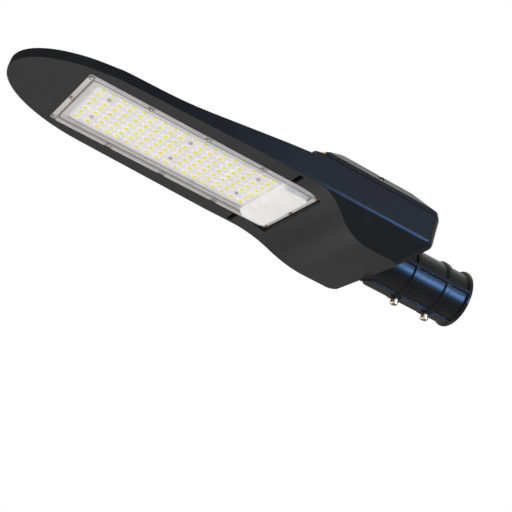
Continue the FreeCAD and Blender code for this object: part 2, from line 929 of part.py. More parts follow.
def input_lead(way, layer):
    """From a way of the terminal block, up beside the driver and into its end."""
    entry = terminal_entry(way)
    end_y = driver_length / 2
    z = driver_level + lead_high - layer * lead_layer
    out_x = driver_centre_x() + (0.5 - layer) * lead_exit_spacing
    side_y = end_y + input_lead_reach + layer * lead_layer
    front = entry - ALONG * lead_stub
    middle = Vec(front.x - lead_swing, side_y, (front.z + z) / 2)
    points = [entry, front, middle, Vec(out_x + lead_swing, side_y, z), Vec(out_x, (end_y + side_y) / 2, z),
              Vec(out_x, end_y, z)]
    return lead(points)


def earth_crimp_end():
    ex, ey = earth_place()
    return Vec(ex, ey + earth_boss_radius + earth_crimp_length, earth_top() + earth_crimp_radius)


def make_earth_lead():
    """From the last way of the terminal block to the lug under the earth screw."""
    entry = terminal_entry(0)
    end = earth_crimp_end()
    front = entry - ALONG * lead_stub
    middle = Vec(front.x - lead_swing, front.y - lead_stub, (front.z + end.z) / 2)
    points = [entry, front, middle, end + Vec(0, lead_stub, 0), end]
    return lead(points)


def make_earth_lug():
    ex, ey = earth_place()
    z = earth_top()
    top = z + earth_lug_thickness
    ring = post(earth_boss_radius, ex, ey, z, top)
    half = earth_crimp_radius
    tongue = box(ex - half, ex + half, ey, ey + earth_boss_radius + over, z, top)
    crimp = rod(earth_crimp_radius, earth_crimp_end(), Vec(0, -1, 0), earth_crimp_length)
    hole = post(earth_screw_radius + hole_gap, ex, ey, z - over, top + over)
    return joined(ring, [tongue, crimp]).cut(hole)


def make_grommet():
    gx, gy = grommet_place()
    low = pocket_depth
    high = back_top
    body = post(grommet_hole_radius, gx, gy, low, high)
    upper = post(grommet_flange_radius, gx, gy, high, high + grommet_flange_height)
    lower = post(grommet_flange_radius, gx, gy, low - grommet_flange_height, low)
    return joined(body, [upper, lower]).cut(post(grommet_hole_radius - grommet_wall, gx, gy, 0, far))


def make_driver():
    x0 = driver_front_x()
    half = driver_length / 2
    case = box(x0, x0 + driver_width, -half, half, driver_level, driver_level + driver_height)
    upright = [e for e in case.Edges if e.BoundBox.YLength > driver_length / 2]
    case = case.makeFillet(driver_corner, upright)
    tab_half = driver_tab_width / 2
    centre = driver_centre_x()
    reach = half + driver_tab_length
    top = driver_level + driver_tab_thickness
    tabs = box(centre - tab_half, centre + tab_half, -reach, reach, driver_level, top)
    holes = [post(driver_screw_radius + hole_gap, x, y, 0, far) for x, y in driver_post_places()]
    return case.fuse(tabs).removeSplitter().cut(holes)


def make_terminal():
    x, y = terminal_centre()
    half_x = terminal_length / 2
    half_y = terminal_width / 2
    low = terminal_floor()
    block = box(x - half_x, x + half_x, y - half_y, y + half_y, low, low + terminal_height)
    reach = half_y + terminal_tab
    tab = box(x - terminal_tab, x + terminal_tab, y - reach, y + reach, low, low + terminal_tab_height)
    holes = [post(terminal_screw_radius + hole_gap, px, py, low - over, far) for px, py in terminal_fixing_places()]
    half = terminal_mouth / 2
    for way in range(terminal_ways):
        way_y = terminal_entry(way).y
        way_z = terminal_entry(way).z
        holes.append(box(x + half, x + half_x + over, way_y - half, way_y + half, way_z - half, way_z + half))
    return block.fuse(tab).removeSplitter().cut(holes)


def make_clamp_screws():
    x = terminal_centre()[0]
    top = terminal_floor() + terminal_height
    heads = []
    for way in range(terminal_ways):
        for shift in (-terminal_length / 4, terminal_length / 4):
            heads.append(post(clamp_screw_radius, x + shift, terminal_entry(way).y, top, top + clamp_screw_height))
    return Part.makeCompound(heads)


def hexagon_prism(across, centre, direction, length):
    """A six-sided bar along X or Z, with two of its corners towards the sides."""
    side = Vec(0, 1, 0)
    other = direction.cross(side)
    reach = across / math.sqrt(3)
    turns = [math.radians(60 * i) for i in range(7)]
    points = [centre + side * (reach * math.cos(t)) + other * (reach * math.sin(t)) for t in turns]
    return Part.Face(Part.makePolygon(points)).extrude(direction * length)


def make_gland_body():
    inner = barrel_end_x
    outer = barrel_end_x + barrel_end_wall
    flange = hexagon_prism(gland_hex, Vec(outer, 0, 0), ALONG, gland_flange_length)
    neck = rod(gland_neck_radius, Vec(outer, 0, 0), ALONG, gland_flange_length + gland_neck_length)
    thread_start = Vec(inner - gland_inner_length, 0, 0)
    thread = rod(gland_thread_radius, thread_start, ALONG, outer - inner + gland_inner_length)
    hole = rod(gland_hole_radius, Vec(inner - far, 0, 0), ALONG, 2 * far)
    return joined(flange, [neck, thread]).cut(hole)


def make_gland_seal():
    start = barrel_end_x + barrel_end_wall + gland_flange_length
    ring = rod(gland_hole_radius, Vec(start, 0, 0), ALONG, gland_neck_length)
    return ring.cut(rod(gland_cable_radius, Vec(start - over, 0, 0), ALONG, gland_neck_length + 2 * over))


def make_gland_nut():
    start = barrel_end_x + barrel_end_wall + gland_flange_length
    cap = hexagon_prism(gland_nut_hex, Vec(start, 0, 0), ALONG, gland_nut_length)
    socket = rod(gland_neck_radius + thread_gap, Vec(start - over, 0, 0), ALONG, gland_neck_length + over)
    return cap.cut(socket).cut(rod(gland_cable_radius, Vec(start, 0, 0), ALONG, gland_nut_length + over))


def make_gland_locknut():
    nut = hexagon_prism(gland_hex, Vec(barrel_end_x - gland_locknut_length, 0, 0), ALONG, gland_locknut_length)
    return nut.cut(rod(gland_thread_radius + thread_gap, Vec(barrel_end_x - far, 0, 0), ALONG, 2 * far))


def make_set_screws():
    """Socket-head screws that point up into the bore wall and stop just short of the bore."""
    seat = -pad_level - set_screw_boss_height - set_screw_stand
    tip = -bore_radius - set_screw_tip_gap
    shapes = []
    for station in set_screw_stations:
        low = seat - set_screw_head_height
        head = post(set_screw_head_radius, -station, 0, low, seat)
        rim = [e for e in head.Edges if e.Closed and abs(e.BoundBox.ZMax - low) < 1e-3]
        head = head.makeChamfer(set_screw_edge, rim)
        pit = hexagon_prism(set_screw_hex, Vec(-station, 0, low), UP, set_screw_hex_depth)
        shank = post(set_screw_radius, -station, 0, seat, tip)
        shapes.append(head.cut(pit).fuse(shank).removeSplitter())
    return Part.makeCompound(shapes)


def make_lid_screws():
    foot = lid_levels()[0]
    groups = []
    for places, floor in ((lid_notch_places(), lid_notch_floor), (lid_pocket_places(), lid_pocket_floor)):
        length = lid_seam + floor + lid_screw_bite
        groups += screws(places, foot + floor, DOWN, lid_screw_radius, length,
                         lid_screw_head_radius, lid_screw_head_height).Solids
    return Part.makeCompound(groups)


def make_driver_screws():
    seat = driver_level + driver_tab_thickness
    length = driver_tab_thickness + driver_screw_bite
    return screws(driver_post_places(), seat, DOWN, driver_screw_radius, length,
                  driver_screw_head_radius, driver_screw_head_height)


def make_terminal_fixings():
    seat = terminal_floor() + terminal_tab_height
    length = terminal_tab_height + terminal_screw_bite
    return screws(terminal_fixing_places(), seat, DOWN, terminal_screw_radius, length,
                  terminal_screw_head_radius, terminal_screw_head_height)


def make_earth_screw():
    ex, ey = earth_place()
    seat = earth_top() + earth_lug_thickness
    length = earth_lug_thickness + earth_screw_bite
    return screw(ex, ey, seat, DOWN, earth_screw_radius, length, earth_head_radius, earth_head_height)


def make_lens_screws():
    length = lens_thickness + lens_screw_bite
    return screws(lens_screw_places(), lens_flush, UP, lens_screw_radius, length,
                  lens_screw_head_radius, lens_screw_head_height)


def make_board_screws():
    seat = pocket_depth - board_thickness
    length = board_thickness + lens_screw_bite
    return screws(board_screw_places(), seat, UP, lens_screw_radius, length,
                  lens_screw_head_radius, lens_screw_head_height)


nodes = {
    "lamp_housing": make_housing(),
    "driver_cover": make_lid(),
    "cover_gasket": make_lid_gasket(),
    "cover_screws": make_lid_screws(),
    "lens_plate": make_lens(),
    "lens_gasket": gasket_ring(thread_gap),
    "lens_screws": make_lens_screws(),
    "led_board": make_board(),
    "leds": make_leds(),
    "board_screws": make_board_screws(),
    "wiring_cover": make_wiring_cover(),
    "led_connector": make_connector(),
    "led_lead_positive": output_lead(1, 1),
    "led_lead_negative": output_lead(-1, 0),
    "lead_grommet": make_grommet(),
    "led_driver": make_driver(),
    "driver_screws": make_driver_screws(),
    "terminal_block": make_terminal(),
    "terminal_screws": make_clamp_screws(),
    "terminal_fixing_screws": make_terminal_fixings(),
    "live_lead": input_lead(2, 1),
    "neutral_lead": input_lead(1, 0),
    "earth_lead": make_earth_lead(),
    "earth_lug": make_earth_lug(),
    "earth_screw": make_earth_screw(),
    "gland_body": make_gland_body(),
    "gland_seal": make_gland_seal(),
    "gland_nut": make_gland_nut(),
    "gland_locknut": make_gland_locknut(),
    "set_screws": make_set_screws(),
}

os.makedirs("parts", exist_ok=True)
for name, shape in nodes.items():
    shape.exportStep("parts/" + name + ".step")
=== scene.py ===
import math

import bmesh
import bpy
from mathutils import Matrix, Vector


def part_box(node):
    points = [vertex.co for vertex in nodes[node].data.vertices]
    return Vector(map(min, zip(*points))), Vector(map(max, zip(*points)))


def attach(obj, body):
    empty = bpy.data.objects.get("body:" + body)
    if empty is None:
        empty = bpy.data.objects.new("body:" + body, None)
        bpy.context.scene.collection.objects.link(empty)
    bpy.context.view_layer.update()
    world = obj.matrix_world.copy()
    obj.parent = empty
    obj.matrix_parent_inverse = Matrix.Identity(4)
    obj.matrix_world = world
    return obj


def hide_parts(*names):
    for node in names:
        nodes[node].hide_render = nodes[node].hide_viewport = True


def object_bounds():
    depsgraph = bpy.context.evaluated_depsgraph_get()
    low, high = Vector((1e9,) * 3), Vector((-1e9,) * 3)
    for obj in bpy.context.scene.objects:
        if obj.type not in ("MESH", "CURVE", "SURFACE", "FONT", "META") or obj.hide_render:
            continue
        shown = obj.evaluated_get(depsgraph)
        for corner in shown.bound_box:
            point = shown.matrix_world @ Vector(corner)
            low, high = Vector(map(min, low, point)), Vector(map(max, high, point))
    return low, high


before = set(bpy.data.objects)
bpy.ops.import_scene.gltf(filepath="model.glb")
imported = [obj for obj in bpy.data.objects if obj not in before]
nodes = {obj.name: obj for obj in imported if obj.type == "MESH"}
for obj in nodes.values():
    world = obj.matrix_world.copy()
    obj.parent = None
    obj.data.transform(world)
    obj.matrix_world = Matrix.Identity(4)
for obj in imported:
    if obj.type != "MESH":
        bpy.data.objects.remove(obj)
cad_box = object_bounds()

MM = 0.001
ROOT = "root"

# Camera, worked out from the photograph's perspective, in the part's frame
CAMERA_PLACE = Vector((-0.7496, -1.2265, -0.6124))
CAMERA_RIGHT = Vector((0.8401, -0.4567, 0.2932))
CAMERA_UP = Vector((-0.4266, -0.2218, 0.8769))
CAMERA_LENS_MM = 86.45
CAMERA_SENSOR_MM = 36.0

# Paint: its softened edges are wider along the walls, in a box of distances from the frame's planes
PAINT_BLACK = (0.0175, 0.0172, 0.018)
PAINT_SPECULAR = 0.11
PAINT_ROUGHNESS = 0.36
PAINT_EDGE = 1.2 * MM
WALL_EDGE = 3.0 * MM
WALL_EDGE_LOW = Vector((0.12, 0.09, 0.0))
WALL_EDGE_HIGH = Vector((0.55, 0.11, 0.006))
BEVEL_SAMPLES = 6

# The paint gets smoother from this station on, where the socket starts
SOCKET_START = -0.115
SOCKET_BLEND = 0.02
SOCKET_SMOOTHING = 0.85

# The walls, faces whose normal rises or falls less than this, are matt at the nose and glossy at the rear
NOSE_MATT = -0.46
NOSE_GLOSS = -0.22
WALL_SLANT = 0.5
MATT_ROUGHNESS = 1.0

# The pocket that holds the board is coloured a pale grey, this far around the board
POCKET_MARGIN = 1.0 * MM
POCKET_PALE_GREY = (0.55, 0.545, 0.53)

# The seam under the lid carries painted shade: it is painted dark and made matt, and so are the edges of
# the coat beside it
SEAM_SPILL = 0.5 * MM
SEAM_PAINTED_SHADE = (0.003, 0.003, 0.003)

# Range in which most of a noise lies
NOISE_RANGE = (0.3, 0.7)

# Unevenness of each kind of surface: its darkest and lightest tone, as shares of its colour, and how far
# its roughness goes below and above its own value
PAINT_TONES = (0.92, 1.08)
PAINT_SPREAD = (0.05, 0.01)
PLASTIC_TONES = (0.94, 1.04)
PLASTIC_SPREAD = (0.06, 0.06)
PLATED_TONES = (0.8, 1.1)
PLATED_SPREAD = (0.05, 0.08)
BRUSHED_TONES = (0.85, 1.1)
BRUSHED_SPREAD = (0.06, 0.1)

# Scale of a brushed metal's marks along the brushing
BRUSH_STRETCH = 0.03

# Stage
WHITE = (1.0, 1.0, 1.0, 1.0)
WORLD_FILL = 0.2
FLOOR_LEVEL = -2.3
FLOOR_SIZE = 60.0
FLOOR_GREY = (0.80, 0.80, 0.80)
FLOOR_LIFT = 0.25

# Lamps: each stands at its offset from its target, or from the part's middle, and points there
SOCKET_MIDDLE = Vector((-0.05, 0.0, 0.0))
LAMPS = {
    "under_light": {"offset": (-0.10, 0.82, -1.40), "size": (1.2, 0.9), "power": 18.5,
                    "colour": (1.0, 0.98, 0.96)},
    "front_fill": {"offset": (-1.10, -1.25, -0.55), "size": (0.9, 0.7), "power": 13.0,
                   "colour": (0.94, 0.97, 1.0), "gloss": False},
    "side_light": {"offset": (1.00, -1.70, 0.75), "size": (1.1, 0.7), "power": 4.4,
                   "colour": (0.36, 0.52, 1.0)},
    "edge_strip": {"offset": (0.93, -1.65, -0.18), "target": SOCKET_MIDDLE, "size": (0.9, 0.5),
                   "power": 101.0, "colour": (0.20, 0.46, 1.0), "matt": False},
    "top_light": {"offset": (0.2, 0.3, 2.0), "size": (1.6, 1.2), "power": 18.0,
                  "colour": (1.0, 0.92, 0.84)},
}

# Meshes: how near points count as one or as level, up to which angle edges look smooth, and how finely
# edges and corners are rounded
WELD_DISTANCE = 1e-6
LEVEL_TOLERANCE = 1e-5
GRID_DIGITS = 5
SMOOTH_ANGLE = math.radians(35)
EDGE_STEPS = 3
ROUND_PROFILE = 0.5
CORNER_STEPS = 6

# Lens plate, and the order of its plastics
CLEAR, FROSTED, BORDER, RING, STRIP = range(5)
LENS_THICKNESS = 3.0 * MM
LENS_CORNER = 3.7 * MM
LENS_EDGE = 0.5 * MM
PLATEAU_RISE = 1.2 * MM
PLATEAU_FRONT = 9.0 * MM
PLATEAU_SIDE = 8.6 * MM
PLATEAU_REAR = 6.4 * MM
PLATEAU_SLOPE = 1.1 * MM
PLATEAU_REAR_SLOPE = 0.3 * MM
CELL_REAR = 5.9 * MM
DOME_HALF_X = 5.7 * MM
DOME_HALF_Y = 6.2 * MM
DOME_SEGMENTS = 28
DOME_RINGS = 7
OPENING_LIP = 6.0 * MM
OPENING_HALF = 14.0 * MM
BORDER_RISE = 0.7 * MM
BORDER_EDGE = 0.9 * MM
BORDER_ROUND = 0.35 * MM
BAR_WIDTH = 2.5 * MM
BAR_PITCH = 3.8 * MM
END_PAD_DEPTH = 5.2 * MM
SCREW_CLEARING = 4.2 * MM

# Direction in which the first corner of an LED's field lies, where the rings of its lens start too
FIRST_CORNER = math.radians(225)

# Seal that shows as a dark line through the plate
SEAL_WIDTH = 2.5 * MM
SEAL_LINE_INSET = 0.6 * MM
SEAL_LINE_WIDTH = 1.3 * MM
SEAL_LINE_COVER = 0.5 * MM

# LED packages, each in a white oval painted on the board for the image that its lens shows, and spread as
# the lens magnifies it, with the order of their materials
PACKAGE, PHOSPHOR, SOLDER = range(3)
HALO_HALF_X = 5.6 * MM
HALO_HALF_Y = 5.0 * MM
HALO_HEIGHT = 0.4 * MM
HALO_RINGS = 4
LED_RIM = 0.05 * MM
LED_SPREAD = Vector((0.1 * MM, 0.6 * MM, 0.0))
LED_WINDOW_RISE = 0.12 * MM
SOLDER_LENGTH = 0.9 * MM
SOLDER_THICKNESS = 0.15 * MM

# Screws: apart from the counts and one radius, shares of each screw's own sizes
SCREW_SEGMENTS = 32
TIP_SHARE = 0.7
TIP_LEAD = 0.08
HEAD_STEPS = 3
HEAD_ROUNDING = 0.45
HEAD_RIM_SHARE = 0.99
RECESS_REACH = 0.56
RECESS_WIDTH = 0.17
RECESS_DEPTH = 0.55
HEXAGON_REACH = 0.58
HEXAGON_DEPTH = 0.5
SET_SCREW_EDGE = 0.8 * MM
HEXAGON_SIDES = 6


def add_node(tree, kind, inputs=None, **settings):
    made = tree.nodes.new(kind)
    for key, value in settings.items():
        setattr(made, key, value)
    for key, value in (inputs or {}).items():
        made.inputs[key].default_value = value
    return made


def new_material(name, roughness, metallic=0.0, **sockets):
    """A material whose shader takes constants by the names of its sockets, such as specular_ior_level."""
    made = bpy.data.materials.new(name)
    made.use_nodes = True
    tree = made.node_tree
    shader = tree.nodes["Principled BSDF"]
    shader.inputs["Roughness"].default_value = roughness
    shader.inputs["Metallic"].default_value = metallic
    for key, value in sockets.items():
        shader.inputs[key.replace("_", " ").title().replace("Ior", "IOR")].default_value = value
    return made, tree, shader


def object_coordinates(tree, stretch=(1.0, 1.0, 1.0)):
    source = add_node(tree, "ShaderNodeTexCoord")
    mapping = add_node(tree, "ShaderNodeMapping", {"Scale": stretch})
    tree.links.new(source.outputs["Object"], mapping.inputs["Vector"])
    return mapping.outputs["Vector"]


def noise(tree, place, scale, detail=2.0):
    made = add_node(tree, "ShaderNodeTexNoise", {"Scale": scale, "Detail": detail})
    tree.links.new(place, made.inputs["Vector"])
    return made.outputs["Fac"]


def maths(tree, operation, *values):
    """The result of a maths node; each value is a node's output or a number."""
    made = add_node(tree, "ShaderNodeMath", operation=operation)
    for socket, value in zip(made.inputs, values):
        if isinstance(value, bpy.types.NodeSocket):
            tree.links.new(value, socket)
        else:
            socket.default_value = value
    return made.outputs[0]


def map_range(tree, value, source, target):
    """Maps a value from its source range to the target range, and holds it at the ends."""
    ends = {"From Min": source[0], "From Max": source[1], "To Min": target[0], "To Max": target[1]}
    made = add_node(tree, "ShaderNodeMapRange", ends)
    tree.links.new(value, made.inputs["Value"])
    return made.outputs["Result"]


def mix(tree, factor, first, second, kind):
    """Runs from the first value, a node's output, to the second one as the factor goes from 0 to 1."""
    made = add_node(tree, "ShaderNodeMix", {"B": second}, data_type=kind)
    tree.links.new(factor, made.inputs["Factor"])
    tree.links.new(first, made.inputs["A"])
    return made.outputs["Result"]


def ramp(tree, factor, colour, tones):
    """Runs over the range of a noise from the darkest tone of a colour to its lightest."""
    made = add_node(tree, "ShaderNodeValToRGB")
    for element, position, tone in zip(made.color_ramp.elements, NOISE_RANGE, tones):
        element.position = position
        element.color = (*(min(1.0, c * tone) for c in colour), 1.0)
    tree.links.new(factor, made.inputs["Fac"])
    return made.outputs["Color"]


def spread(tree, factor, roughness, reach):
    """Lets a roughness vary with a noise, as far below and above as the reach says."""
    below, above = reach
    return map_range(tree, factor, NOISE_RANGE, (roughness - below, roughness + above))


def bump(tree, factor, strength, distance, below=None):
    made = add_node(tree, "ShaderNodeBump", {"Strength": strength, "Distance": distance})
    tree.links.new(factor, made.inputs["Height"])
    if below is not None:
        tree.links.new(below, made.inputs["Normal"])
    return made.outputs["Normal"]


def inside_box(tree, place, low, high):
    """A factor that is 1 where the place lies in a box and 0 outside it."""
    axes = add_node(tree, "ShaderNodeSeparateXYZ")
    tree.links.new(place, axes.inputs["Vector"])
    within = [maths(tree, "COMPARE", axes.outputs[axis], (start + end) / 2, (end - start) / 2)
              for axis, start, end in zip("XYZ", low, high)]
    return maths(tree, "MULTIPLY", maths(tree, "MULTIPLY", within[0], within[1]), within[2])


def pocket_factor(tree, place):
    """A factor that is 1 in the pocket that holds the board."""
    margin = Vector((POCKET_MARGIN, POCKET_MARGIN, 0.0))
    board_low, board_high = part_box("led_board")
    low = Vector((*(board_low - margin)[:2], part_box("lens_plate")[1].z))
    return inside_box(tree, place, low, board_high + margin)


def seam_shade_factor(tree, place):
    """A factor that is 1 in the seam under the lid and a little beside it, where shade is painted into the
    coat.
    """
    lid_low, lid_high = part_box("driver_cover")
    seam_low, seam_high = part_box("cover_gasket")
    spill = Vector((0.0, 0.0, SEAM_SPILL))
    low = Vector((*lid_low[:2], seam_low.z)) - spill
    high = Vector((*lid_high[:2], seam_high.z)) + spill
    return inside_box(tree, place, low, high)


def wall_factor(tree, along):
    """A factor that fades on the walls from 1 at the nose to 0 at the rear, and is 0 on other faces."""
    fade = map_range(tree, along, (NOSE_MATT, NOSE_GLOSS), (1.0, 0.0))
    facing = add_node(tree, "ShaderNodeSeparateXYZ")
    tree.links.new(add_node(tree, "ShaderNodeTexCoord").outputs["Normal"], facing.inputs["Vector"])
    return maths(tree, "MULTIPLY", fade, maths(tree, "COMPARE", facing.outputs["Z"], 0.0, WALL_SLANT))


def coat_surface(tree, place):
    """The normal of the coat: softened edges, a broad waviness and a fine grain."""
    mirrored = add_node(tree, "ShaderNodeVectorMath", operation="ABSOLUTE")
    tree.links.new(place, mirrored.inputs[0])
    belt = inside_box(tree, mirrored.outputs["Vector"], WALL_EDGE_LOW, WALL_EDGE_HIGH)
    soft_edge = add_node(tree, "ShaderNodeBevel", samples=BEVEL_SAMPLES)
    tree.links.new(map_range(tree, belt, (0.0, 1.0), (PAINT_EDGE, WALL_EDGE)), soft_edge.inputs["Radius"])
    waves = noise(tree, place, scale=420.0, detail=1.0)
    wavy = bump(tree, waves, strength=0.04, distance=0.3 * MM, below=soft_edge.outputs["Normal"])
    grains = noise(tree, place, scale=1700.0)
    return bump(tree, grains, strength=0.07, distance=0.12 * MM, below=wavy)


def powder_coat(name, colour):
    """Uneven powder coat, with a pale grey in the board's pocket and a line of painted shade in the lid's
    seam.
    """
    made, tree, shader = new_material(name, PAINT_ROUGHNESS, specular_ior_level=PAINT_SPECULAR)
    place = object_coordinates(tree)
    station = add_node(tree, "ShaderNodeSeparateXYZ")
    tree.links.new(place, station.inputs["Vector"])
    along = station.outputs["X"]
    seam = seam_shade_factor(tree, place)
    tone = noise(tree, place, scale=38.0, detail=4.0)
    coat = ramp(tree, tone, colour, PAINT_TONES)
    surface = mix(tree, pocket_factor(tree, place), coat, (*POCKET_PALE_GREY, 1.0), "RGBA")
    # Painted shade: the coat turns near black in the seam under the lid and a little beside it
    tree.links.new(mix(tree, seam, surface, (*SEAM_PAINTED_SHADE, 1.0), "RGBA"), shader.inputs["Base Color"])
    uneven = spread(tree, noise(tree, place, scale=260.0), PAINT_ROUGHNESS, PAINT_SPREAD)
    blend = (SOCKET_START, SOCKET_START + SOCKET_BLEND)
    rough = maths(tree, "MULTIPLY", uneven, map_range(tree, along, blend, (1.0, SOCKET_SMOOTHING)))
    matt = maths(tree, "MAXIMUM", seam, wall_factor(tree, along))
    tree.links.new(mix(tree, matt, rough, MATT_ROUGHNESS, "FLOAT"), shader.inputs["Roughness"])
    tree.links.new(coat_surface(tree, place), shader.inputs["Normal"])
    return made


def moulded(name, colour, roughness, grain=0.1, **sockets):
    """Moulded plastic or rubber: a faint grain and a little variation of tone."""
    made, tree, shader = new_material(name, roughness, **sockets)
    place = object_coordinates(tree)
    tone = noise(tree, place, scale=60.0, detail=3.0)
    tree.links.new(ramp(tree, tone, colour, PLASTIC_TONES), shader.inputs["Base Color"])
    gloss = spread(tree, noise(tree, place, scale=300.0), roughness, PLASTIC_SPREAD)
    tree.links.new(gloss, shader.inputs["Roughness"])
    grains = noise(tree, place, scale=1200.0)
    tree.links.new(bump(tree, grains, strength=grain, distance=0.1 * MM), shader.inputs["Normal"])
    return made


def plated(name, colour, roughness):
    """Plated metal with a fine grain and patches of tone and gloss."""
    made, tree, shader = new_material(name, roughness, metallic=1.0)
    place = object_coordinates(tree)
    tone = noise(tree, place, scale=500.0, detail=3.0)
    tree.links.new(ramp(tree, tone, colour, PLATED_TONES), shader.inputs["Base Color"])
    tree.links.new(spread(tree, tone, roughness, PLATED_SPREAD), shader.inputs["Roughness"])
    grains = noise(tree, place, scale=2500.0)
    tree.links.new(bump(tree, grains, strength=0.1, distance=0.05 * MM), shader.inputs["Normal"])
    return made


def brushed(name, colour, roughness, along):
    """Drawn or brushed metal: a noise stretched along one axis marks its tone, gloss and surface."""
    made, tree, shader = new_material(name, roughness, metallic=1.0)
    stretch = tuple(BRUSH_STRETCH if i == along else 1.0 for i in range(3))
    lines = noise(tree, object_coordinates(tree, stretch), scale=900.0, detail=3.0)
    tree.links.new(ramp(tree, lines, colour, BRUSHED_TONES), shader.inputs["Base Color"])
    tree.links.new(spread(tree, lines, roughness, BRUSHED_SPREAD), shader.inputs["Roughness"])
    tree.links.new(bump(tree, lines, strength=0.1, distance=0.05 * MM), shader.inputs["Normal"])
    return made


def clear_plastic(name, colour, alpha, roughness):
    """Clear or frosted moulded plastic, seen through by its alpha."""
    return moulded(name, colour, roughness, grain=0.03, alpha=alpha, ior=1.5)


paint = powder_coat("housing_powder_coat", PAINT_BLACK)
lid_paint = powder_coat("cover_powder_coat", PAINT_BLACK)
rubber = moulded("black_rubber", (0.014, 0.014, 0.017), roughness=0.7, grain=0.3)
lens_clear = clear_plastic("lens_clear", (0.88, 0.88, 0.89), alpha=0.04, roughness=0.10)
lens_ring = clear_plastic("lens_ring", (0.60, 0.59, 0.57), alpha=0.82, roughness=0.30)
lens_strip = clear_plastic("lens_strip", (0.58, 0.57, 0.56), alpha=0.35, roughness=0.20)
lens_border = clear_plastic("lens_border", (0.46, 0.45, 0.455), alpha=0.65, roughness=0.35)
lens_frosted = clear_plastic("lens_frosted", (0.57, 0.545, 0.515), alpha=0.92, roughness=0.45)
steel = plated("zinc_plate", (0.72, 0.70, 0.66), roughness=0.18)
bronze = plated("bronze_zinc_plate", (0.48, 0.33, 0.22), roughness=0.35)
dull_zinc = moulded("dull_zinc_plate", (0.60, 0.54, 0.50), roughness=0.55, specular_ior_level=0.15)
warm_steel = plated("stainless_steel", (0.80, 0.66, 0.48), roughness=0.2)
solder = plated("solder_pad", (0.62, 0.50, 0.40), roughness=0.4)
gold = plated("yellow_zinc_plate", (0.83, 0.60, 0.25), roughness=0.26)
board_white = moulded("board_solder_mask", (0.77, 0.745, 0.74), roughness=0.5)
led_white = moulded("led_package", (0.88, 0.87, 0.87), roughness=0.5)
phosphor = moulded("led_phosphor", (1.0, 0.87, 0.0), roughness=0.6, specular_ior_level=0.1)
cover_white = moulded("wiring_cover_plastic", (0.92, 0.895, 0.875), roughness=0.45, specular_ior_level=0.2,
                      subsurface_weight=0.3, subsurface_scale=6 * MM, subsurface_radius=(1.0, 1.0, 1.0))
nylon_white = moulded("natural_nylon", (0.80, 0.78, 0.72), roughness=0.5)
nylon_cream = moulded("cream_nylon", (0.70, 0.66, 0.55), roughness=0.5)
nylon_black = moulded("black_nylon", (0.020, 0.020, 0.022), roughness=0.45, grain=0.2)
driver_case = brushed("driver_aluminium", (0.62, 0.63, 0.64), roughness=0.32, along=1)
copper = plated("tinned_copper", (0.72, 0.60, 0.48), roughness=0.3)
lead_colours = {
    "led_lead_positive": (0.55, 0.03, 0.03),
    "led_lead_negative": (0.02, 0.02, 0.02),
    "live_lead": (0.18, 0.08, 0.035),
    "neutral_lead": (0.04, 0.12, 0.42),
    "earth_lead": (0.16, 0.40, 0.05),
}


def dress(material, *names):
    """Gives CAD nodes their material."""
    for name in names:
        slots = nodes[name].data.materials
        slots.clear()
        slots.append(material)


dress(paint, "lamp_housing")
dress(lid_paint, "driver_cover")
dress(rubber, "cover_gasket", "lens_gasket", "lead_grommet", "gland_seal")
dress(gold, "terminal_screws")
dress(board_white, "led_board")
dress(cover_white, "wiring_cover")
dress(nylon_white, "led_connector")
dress(nylon_cream, "terminal_block")
dress(nylon_black, "gland_body", "gland_nut", "gland_locknut")
dress(driver_case, "led_driver")
dress(copper, "earth_lug")
for lead_name, lead_colour in lead_colours.items():
    dress(moulded(lead_name + "_insulation", lead_colour, roughness=0.4), lead_name)

# The plate in front of the white cover stays as bright as in the photograph
nodes["wiring_cover"].visible_shadow = False


def islands(name):
    """Corner points of each separate solid in a CAD node."""
    work = bmesh.new()
    work.from_mesh(nodes[name].data)
    bmesh.ops.remove_doubles(work, verts=work.verts, dist=WELD_DISTANCE)
    left = set(work.verts)
    found = []
    while left:
        group = [left.pop()]
        for vert in group:
            for edge in vert.link_edges:
                other = edge.other_vert(vert)
                if other in left:
                    left.remove(other)
                    group.append(other)
        found.append([vert.co.copy() for vert in group])
    work.free()
    return sorted(found, key=lambda points: tuple(min(points, key=tuple)))


def extents(points):
    low = Vector([min(p[i] for p in points) for i in range(3)])
    high = Vector([max(p[i] for p in points) for i in range(3)])
    return low, high


def centre(points):
    low, high = extents(points)
    return (low + high) / 2


def piece(name, work, materials, slot_name, *replaced):
    """Makes a piece of the part from a bmesh, riding on the one body, and hides the nodes that it replaces.
    """
    mesh = bpy.data.meshes.new(name)
    work.to_mesh(mesh)
    work.free()
    for material in materials:
        mesh.materials.append(material)
    made = bpy.data.objects.new(name, mesh)
    bpy.context.scene.collection.objects.link(made)
    mesh.shade_smooth()
    mesh.set_sharp_from_angle(angle=SMOOTH_ANGLE)
    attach(made, ROOT)
    if replaced:
        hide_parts(*replaced)
    return made


def add_block(work, low, high, edge=0.0, index=0):
    """A box, with rounded edges if an edge radius is given."""
    placed = Matrix.Translation((low + high) / 2) @ Matrix.Diagonal((*(high - low), 1))
    made = bmesh.ops.create_cube(work, size=1.0, matrix=placed)
    faces = {f for v in made["verts"] for f in v.link_faces}
    if edge:
        edges = list({e for v in made["verts"] for e in v.link_edges})
        rounded = bmesh.ops.bevel(work, geom=edges, offset=edge, segments=EDGE_STEPS, affect="EDGES",
                                  profile=ROUND_PROFILE)
        faces = {f for v in rounded["verts"] for f in v.link_faces}
    for face in faces:
        face.material_index = index


def add_loop(work, points):
    """Closed row of vertices and edges."""
    verts = [work.verts.new(p) for p in points]
    edges = [work.edges.new(pair) for pair in zip(verts, verts[1:] + verts[:1])]
    return verts, edges


def bridge(work, first, second, index=0):
    """Faces between two closed rows with equal numbers of vertices."""
    count = len(first)
    for i in range(count):
        j = (i + 1) % count
        face = work.faces.new((first[i], first[j], second[j], second[i]))
        face.material_index = index


